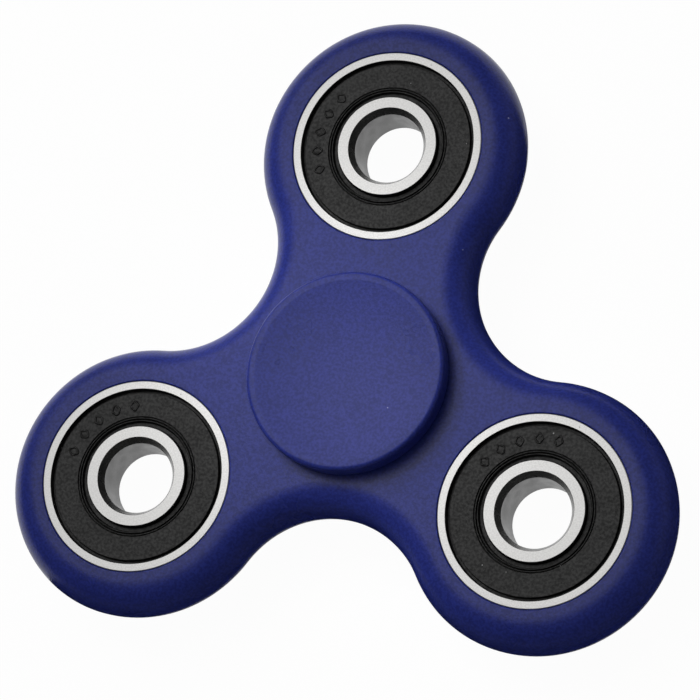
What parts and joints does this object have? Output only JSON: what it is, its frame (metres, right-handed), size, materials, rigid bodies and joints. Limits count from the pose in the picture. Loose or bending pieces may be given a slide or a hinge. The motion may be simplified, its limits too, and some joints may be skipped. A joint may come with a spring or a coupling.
{
  "type": "fidget spinner",
  "caption": "Flat three-lobed hand spinner: a rounded plastic frame turning on a centre ball bearing between dished finger caps, with open ball bearings pressed into its lobes.",
  "frame": {"origin": "centre of the centre bearing, midway through its width, which is the centre of the whole spinner", "axes": "+Z along the spin axis, out of the front cap; +Y from the centre to the first lobe; +X to the right of it seen from the front"},
  "size_m": [0.0772, 0.071, 0.0122],
  "materials": {
    "frame_plastic": "moulded plastic with a fine spark texture",
    "cap_plastic": "moulded plastic with a fine spark texture",
    "bearing_steel": "ground bearing steel",
    "seal_rubber": "black moulded rubber",
    "cage_steel": "pressed steel sheet",
    "ball_steel": "polished steel"
  },
  "bodies": {
    "hub": {"front_cap": "cap_plastic", "back_cap": "cap_plastic", "centre_inner_ring": "bearing_steel"},
    "rotor": {"frame": "frame_plastic", "centre_outer_ring": "bearing_steel", "arm1_outer_ring": "bearing_steel", "arm2_outer_ring": "bearing_steel", "arm3_outer_ring": "bearing_steel", "centre_front_seal": "seal_rubber", "centre_back_seal": "seal_rubber", "arm1_front_seal": "seal_rubber", "arm1_back_seal": "seal_rubber", "arm2_front_seal": "seal_rubber", "arm2_back_seal": "seal_rubber", "arm3_front_seal": "seal_rubber", "arm3_back_seal": "seal_rubber"},
    "centre_cage": {"centre_cage_front": "cage_steel", "centre_cage_back": "cage_steel", "centre_cage_rivets": "cage_steel"},
    "centre_ball_1": {"centre_ball_1": "ball_steel"},
    "centre_ball_2": {"centre_ball_2": "ball_steel"},
    "centre_ball_3": {"centre_ball_3": "ball_steel"},
    "centre_ball_4": {"centre_ball_4": "ball_steel"},
    "centre_ball_5": {"centre_ball_5": "ball_steel"},
    "centre_ball_6": {"centre_ball_6": "ball_steel"},
    "centre_ball_7": {"centre_ball_7": "ball_steel"},
    "arm1_inner": {"arm1_inner_ring": "bearing_steel"},
    "arm1_cage": {"arm1_cage_front": "cage_steel", "arm1_cage_back": "cage_steel", "arm1_cage_rivets": "cage_steel"},
    "arm1_ball_1": {"arm1_ball_1": "ball_steel"},
    "arm1_ball_2": {"arm1_ball_2": "ball_steel"},
    "arm1_ball_3": {"arm1_ball_3": "ball_steel"},
    "arm1_ball_4": {"arm1_ball_4": "ball_steel"},
    "arm1_ball_5": {"arm1_ball_5": "ball_steel"},
    "arm1_ball_6": {"arm1_ball_6": "ball_steel"},
    "arm1_ball_7": {"arm1_ball_7": "ball_steel"},
    "arm2_inner": {"arm2_inner_ring": "bearing_steel"},
    "arm2_cage": {"arm2_cage_front": "cage_steel", "arm2_cage_back": "cage_steel", "arm2_cage_rivets": "cage_steel"},
    "arm2_ball_1": {"arm2_ball_1": "ball_steel"},
    "arm2_ball_2": {"arm2_ball_2": "ball_steel"},
    "arm2_ball_3": {"arm2_ball_3": "ball_steel"},
    "arm2_ball_4": {"arm2_ball_4": "ball_steel"},
    "arm2_ball_5": {"arm2_ball_5": "ball_steel"},
    "arm2_ball_6": {"arm2_ball_6": "ball_steel"},
    "arm2_ball_7": {"arm2_ball_7": "ball_steel"},
    "arm3_inner": {"arm3_inner_ring": "bearing_steel"},
    "arm3_cage": {"arm3_cage_front": "cage_steel", "arm3_cage_back": "cage_steel", "arm3_cage_rivets": "cage_steel"},
    "arm3_ball_1": {"arm3_ball_1": "ball_steel"},
    "arm3_ball_2": {"arm3_ball_2": "ball_steel"},
    "arm3_ball_3": {"arm3_ball_3": "ball_steel"},
    "arm3_ball_4": {"arm3_ball_4": "ball_steel"},
    "arm3_ball_5": {"arm3_ball_5": "ball_steel"},
    "arm3_ball_6": {"arm3_ball_6": "ball_steel"},
    "arm3_ball_7": {"arm3_ball_7": "ball_steel"}
  },
  "joints": [
    {"name": "frame_spin", "type": "hinge", "parent": "hub", "child": "rotor", "pos_m": [0, 0, 0], "axis": [0, 0, 1], "continuous": true},
    {"name": "centre_cage_orbit", "type": "hinge", "parent": "hub", "child": "centre_cage", "pos_m": [0, 0, 0], "axis": [0, 0, 1], "continuous": true},
    {"name": "centre_ball_1_roll", "type": "hinge", "parent": "centre_cage", "child": "centre_ball_1", "pos_m": [0, 0.0075, 0], "axis": [0, 0, 1], "continuous": true},
    {"name": "centre_ball_2_roll", "type": "hinge", "parent": "centre_cage", "child": "centre_ball_2", "pos_m": [-0.00586, 0.00468, 0], "axis": [0, 0, 1], "continuous": true},
    {"name": "centre_ball_3_roll", "type": "hinge", "parent": "centre_cage", "child": "centre_ball_3", "pos_m": [-0.00731, -0.00167, 0], "axis": [0, 0, 1], "continuous": true},
    {"name": "centre_ball_4_roll", "type": "hinge", "parent": "centre_cage", "child": "centre_ball_4", "pos_m": [-0.00325, -0.00676, 0], "axis": [0, 0, 1], "continuous": true},
    {"name": "centre_ball_5_roll", "type": "hinge", "parent": "centre_cage", "child": "centre_ball_5", "pos_m": [0.00325, -0.00676, 0], "axis": [0, 0, 1], "continuous": true},
    {"name": "centre_ball_6_roll", "type": "hinge", "parent": "centre_cage", "child": "centre_ball_6", "pos_m": [0.00731, -0.00167, 0], "axis": [0, 0, 1], "continuous": true},
    {"name": "centre_ball_7_roll", "type": "hinge", "parent": "centre_cage", "child": "centre_ball_7", "pos_m": [0.00586, 0.00468, 0], "axis": [0, 0, 1], "continuous": true},
    {"name": "arm1_ring_spin", "type": "hinge", "parent": "rotor", "child": "arm1_inner", "pos_m": [0, 0.0268, 0], "axis": [0, 0, 1], "continuous": true},
    {"name": "arm1_cage_orbit", "type": "hinge", "parent": "rotor", "child": "arm1_cage", "pos_m": [0, 0.0268, 0], "axis": [0, 0, 1], "continuous": true},
    {"name": "arm1_ball_1_roll", "type": "hinge", "parent": "arm1_cage", "child": "arm1_ball_1", "pos_m": [0, 0.0343, 0], "axis": [0, 0, 1], "continuous": true},
    {"name": "arm1_ball_2_roll", "type": "hinge", "parent": "arm1_cage", "child": "arm1_ball_2", "pos_m": [-0.00586, 0.03148, 0], "axis": [0, 0, 1], "continuous": true},
    {"name": "arm1_ball_3_roll", "type": "hinge", "parent": "arm1_cage", "child": "arm1_ball_3", "pos_m": [-0.00731, 0.02513, 0], "axis": [0, 0, 1], "continuous": true},
    {"name": "arm1_ball_4_roll", "type": "hinge", "parent": "arm1_cage", "child": "arm1_ball_4", "pos_m": [-0.00325, 0.02004, 0], "axis": [0, 0, 1], "continuous": true},
    {"name": "arm1_ball_5_roll", "type": "hinge", "parent": "arm1_cage", "child": "arm1_ball_5", "pos_m": [0.00325, 0.02004, 0], "axis": [0, 0, 1], "continuous": true},
    {"name": "arm1_ball_6_roll", "type": "hinge", "parent": "arm1_cage", "child": "arm1_ball_6", "pos_m": [0.00731, 0.02513, 0], "axis": [0, 0, 1], "continuous": true},
    {"name": "arm1_ball_7_roll", "type": "hinge", "parent": "arm1_cage", "child": "arm1_ball_7", "pos_m": [0.00586, 0.03148, 0], "axis": [0, 0, 1], "continuous": true},
    {"name": "arm2_ring_spin", "type": "hinge", "parent": "rotor", "child": "arm2_inner", "pos_m": [-0.02321, -0.0134, 0], "axis": [0, 0, 1], "continuous": true},
    {"name": "arm2_cage_orbit", "type": "hinge", "parent": "rotor", "child": "arm2_cage", "pos_m": [-0.02321, -0.0134, 0], "axis": [0, 0, 1], "continuous": true},
    {"name": "arm2_ball_1_roll", "type": "hinge", "parent": "arm2_cage", "child": "arm2_ball_1", "pos_m": [-0.02321, -0.0059, 0], "axis": [0, 0, 1], "continuous": true},
    {"name": "arm2_ball_2_roll", "type": "hinge", "parent": "arm2_cage", "child": "arm2_ball_2", "pos_m": [-0.02907, -0.00872, 0], "axis": [0, 0, 1], "continuous": true},
    {"name": "arm2_ball_3_roll", "type": "hinge", "parent": "arm2_cage", "child": "arm2_ball_3", "pos_m": [-0.03052, -0.01507, 0], "axis": [0, 0, 1], "continuous": true},
    {"name": "arm2_ball_4_roll", "type": "hinge", "parent": "arm2_cage", "child": "arm2_ball_4", "pos_m": [-0.02646, -0.02016, 0], "axis": [0, 0, 1], "continuous": true},
    {"name": "arm2_ball_5_roll", "type": "hinge", "parent": "arm2_cage", "child": "arm2_ball_5", "pos_m": [-0.01996, -0.02016, 0], "axis": [0, 0, 1], "continuous": true},
    {"name": "arm2_ball_6_roll", "type": "hinge", "parent": "arm2_cage", "child": "arm2_ball_6", "pos_m": [-0.0159, -0.01507, 0], "axis": [0, 0, 1], "continuous": true},
    {"name": "arm2_ball_7_roll", "type": "hinge", "parent": "arm2_cage", "child": "arm2_ball_7", "pos_m": [-0.01735, -0.00872, 0], "axis": [0, 0, 1], "continuous": true},
    {"name": "arm3_ring_spin", "type": "hinge", "parent": "rotor", "child": "arm3_inner", "pos_m": [0.02321, -0.0134, 0], "axis": [0, 0, 1], "continuous": true},
    {"name": "arm3_cage_orbit", "type": "hinge", "parent": "rotor", "child": "arm3_cage", "pos_m": [0.02321, -0.0134, 0], "axis": [0, 0, 1], "continuous": true},
    {"name": "arm3_ball_1_roll", "type": "hinge", "parent": "arm3_cage", "child": "arm3_ball_1", "pos_m": [0.02321, -0.0059, 0], "axis": [0, 0, 1], "continuous": true},
    {"name": "arm3_ball_2_roll", "type": "hinge", "parent": "arm3_cage", "child": "arm3_ball_2", "pos_m": [0.01735, -0.00872, 0], "axis": [0, 0, 1], "continuous": true},
    {"name": "arm3_ball_3_roll", "type": "hinge", "parent": "arm3_cage", "child": "arm3_ball_3", "pos_m": [0.0159, -0.01507, 0], "axis": [0, 0, 1], "continuous": true},
    {"name": "arm3_ball_4_roll", "type": "hinge", "parent": "arm3_cage", "child": "arm3_ball_4", "pos_m": [0.01996, -0.02016, 0], "axis": [0, 0, 1], "continuous": true},
    {"name": "arm3_ball_5_roll", "type": "hinge", "parent": "arm3_cage", "child": "arm3_ball_5", "pos_m": [0.02646, -0.02016, 0], "axis": [0, 0, 1], "continuous": true},
    {"name": "arm3_ball_6_roll", "type": "hinge", "parent": "arm3_cage", "child": "arm3_ball_6", "pos_m": [0.03052, -0.01507, 0], "axis": [0, 0, 1], "continuous": true},
    {"name": "arm3_ball_7_roll", "type": "hinge", "parent": "arm3_cage", "child": "arm3_ball_7", "pos_m": [0.02907, -0.00872, 0], "axis": [0, 0, 1], "continuous": true}
  ],
  "couplings": [
    {"joint": "centre_cage_orbit", "follows": "frame_spin", "ratio": 0.6323},
    {"joint": "centre_ball_1_roll", "follows": "frame_spin", "ratio": 1.7573},
    {"joint": "centre_ball_2_roll", "follows": "frame_spin", "ratio": 1.7573},
    {"joint": "centre_ball_3_roll", "follows": "frame_spin", "ratio": 1.7573},
    {"joint": "centre_ball_4_roll", "follows": "frame_spin", "ratio": 1.7573},
    {"joint": "centre_ball_5_roll", "follows": "frame_spin", "ratio": 1.7573},
    {"joint": "centre_ball_6_roll", "follows": "frame_spin", "ratio": 1.7573},
    {"joint": "centre_ball_7_roll", "follows": "frame_spin", "ratio": 1.7573},
    {"joint": "arm1_cage_orbit", "follows": "arm1_ring_spin", "ratio": 0.3677},
    {"joint": "arm1_ball_1_roll", "follows": "arm1_ring_spin", "ratio": -1.7573},
    {"joint": "arm1_ball_2_roll", "follows": "arm1_ring_spin", "ratio": -1.7573},
    {"joint": "arm1_ball_3_roll", "follows": "arm1_ring_spin", "ratio": -1.7573},
    {"joint": "arm1_ball_4_roll", "follows": "arm1_ring_spin", "ratio": -1.7573},
    {"joint": "arm1_ball_5_roll", "follows": "arm1_ring_spin", "ratio": -1.7573},
    {"joint": "arm1_ball_6_roll", "follows": "arm1_ring_spin", "ratio": -1.7573},
    {"joint": "arm1_ball_7_roll", "follows": "arm1_ring_spin", "ratio": -1.7573},
    {"joint": "arm2_cage_orbit", "follows": "arm2_ring_spin", "ratio": 0.3677},
    {"joint": "arm2_ball_1_roll", "follows": "arm2_ring_spin", "ratio": -1.7573},
    {"joint": "arm2_ball_2_roll", "follows": "arm2_ring_spin", "ratio": -1.7573},
    {"joint": "arm2_ball_3_roll", "follows": "arm2_ring_spin", "ratio": -1.7573},
    {"joint": "arm2_ball_4_roll", "follows": "arm2_ring_spin", "ratio": -1.7573},
    {"joint": "arm2_ball_5_roll", "follows": "arm2_ring_spin", "ratio": -1.7573},
    {"joint": "arm2_ball_6_roll", "follows": "arm2_ring_spin", "ratio": -1.7573},
    {"joint": "arm2_ball_7_roll", "follows": "arm2_ring_spin", "ratio": -1.7573},
    {"joint": "arm3_cage_orbit", "follows": "arm3_ring_spin", "ratio": 0.3677},
    {"joint": "arm3_ball_1_roll", "follows": "arm3_ring_spin", "ratio": -1.7573},
    {"joint": "arm3_ball_2_roll", "follows": "arm3_ring_spin", "ratio": -1.7573},
    {"joint": "arm3_ball_3_roll", "follows": "arm3_ring_spin", "ratio": -1.7573},
    {"joint": "arm3_ball_4_roll", "follows": "arm3_ring_spin", "ratio": -1.7573},
    {"joint": "arm3_ball_5_roll", "follows": "arm3_ring_spin", "ratio": -1.7573},
    {"joint": "arm3_ball_6_roll", "follows": "arm3_ring_spin", "ratio": -1.7573},
    {"joint": "arm3_ball_7_roll", "follows": "arm3_ring_spin", "ratio": -1.7573}
  ]
}
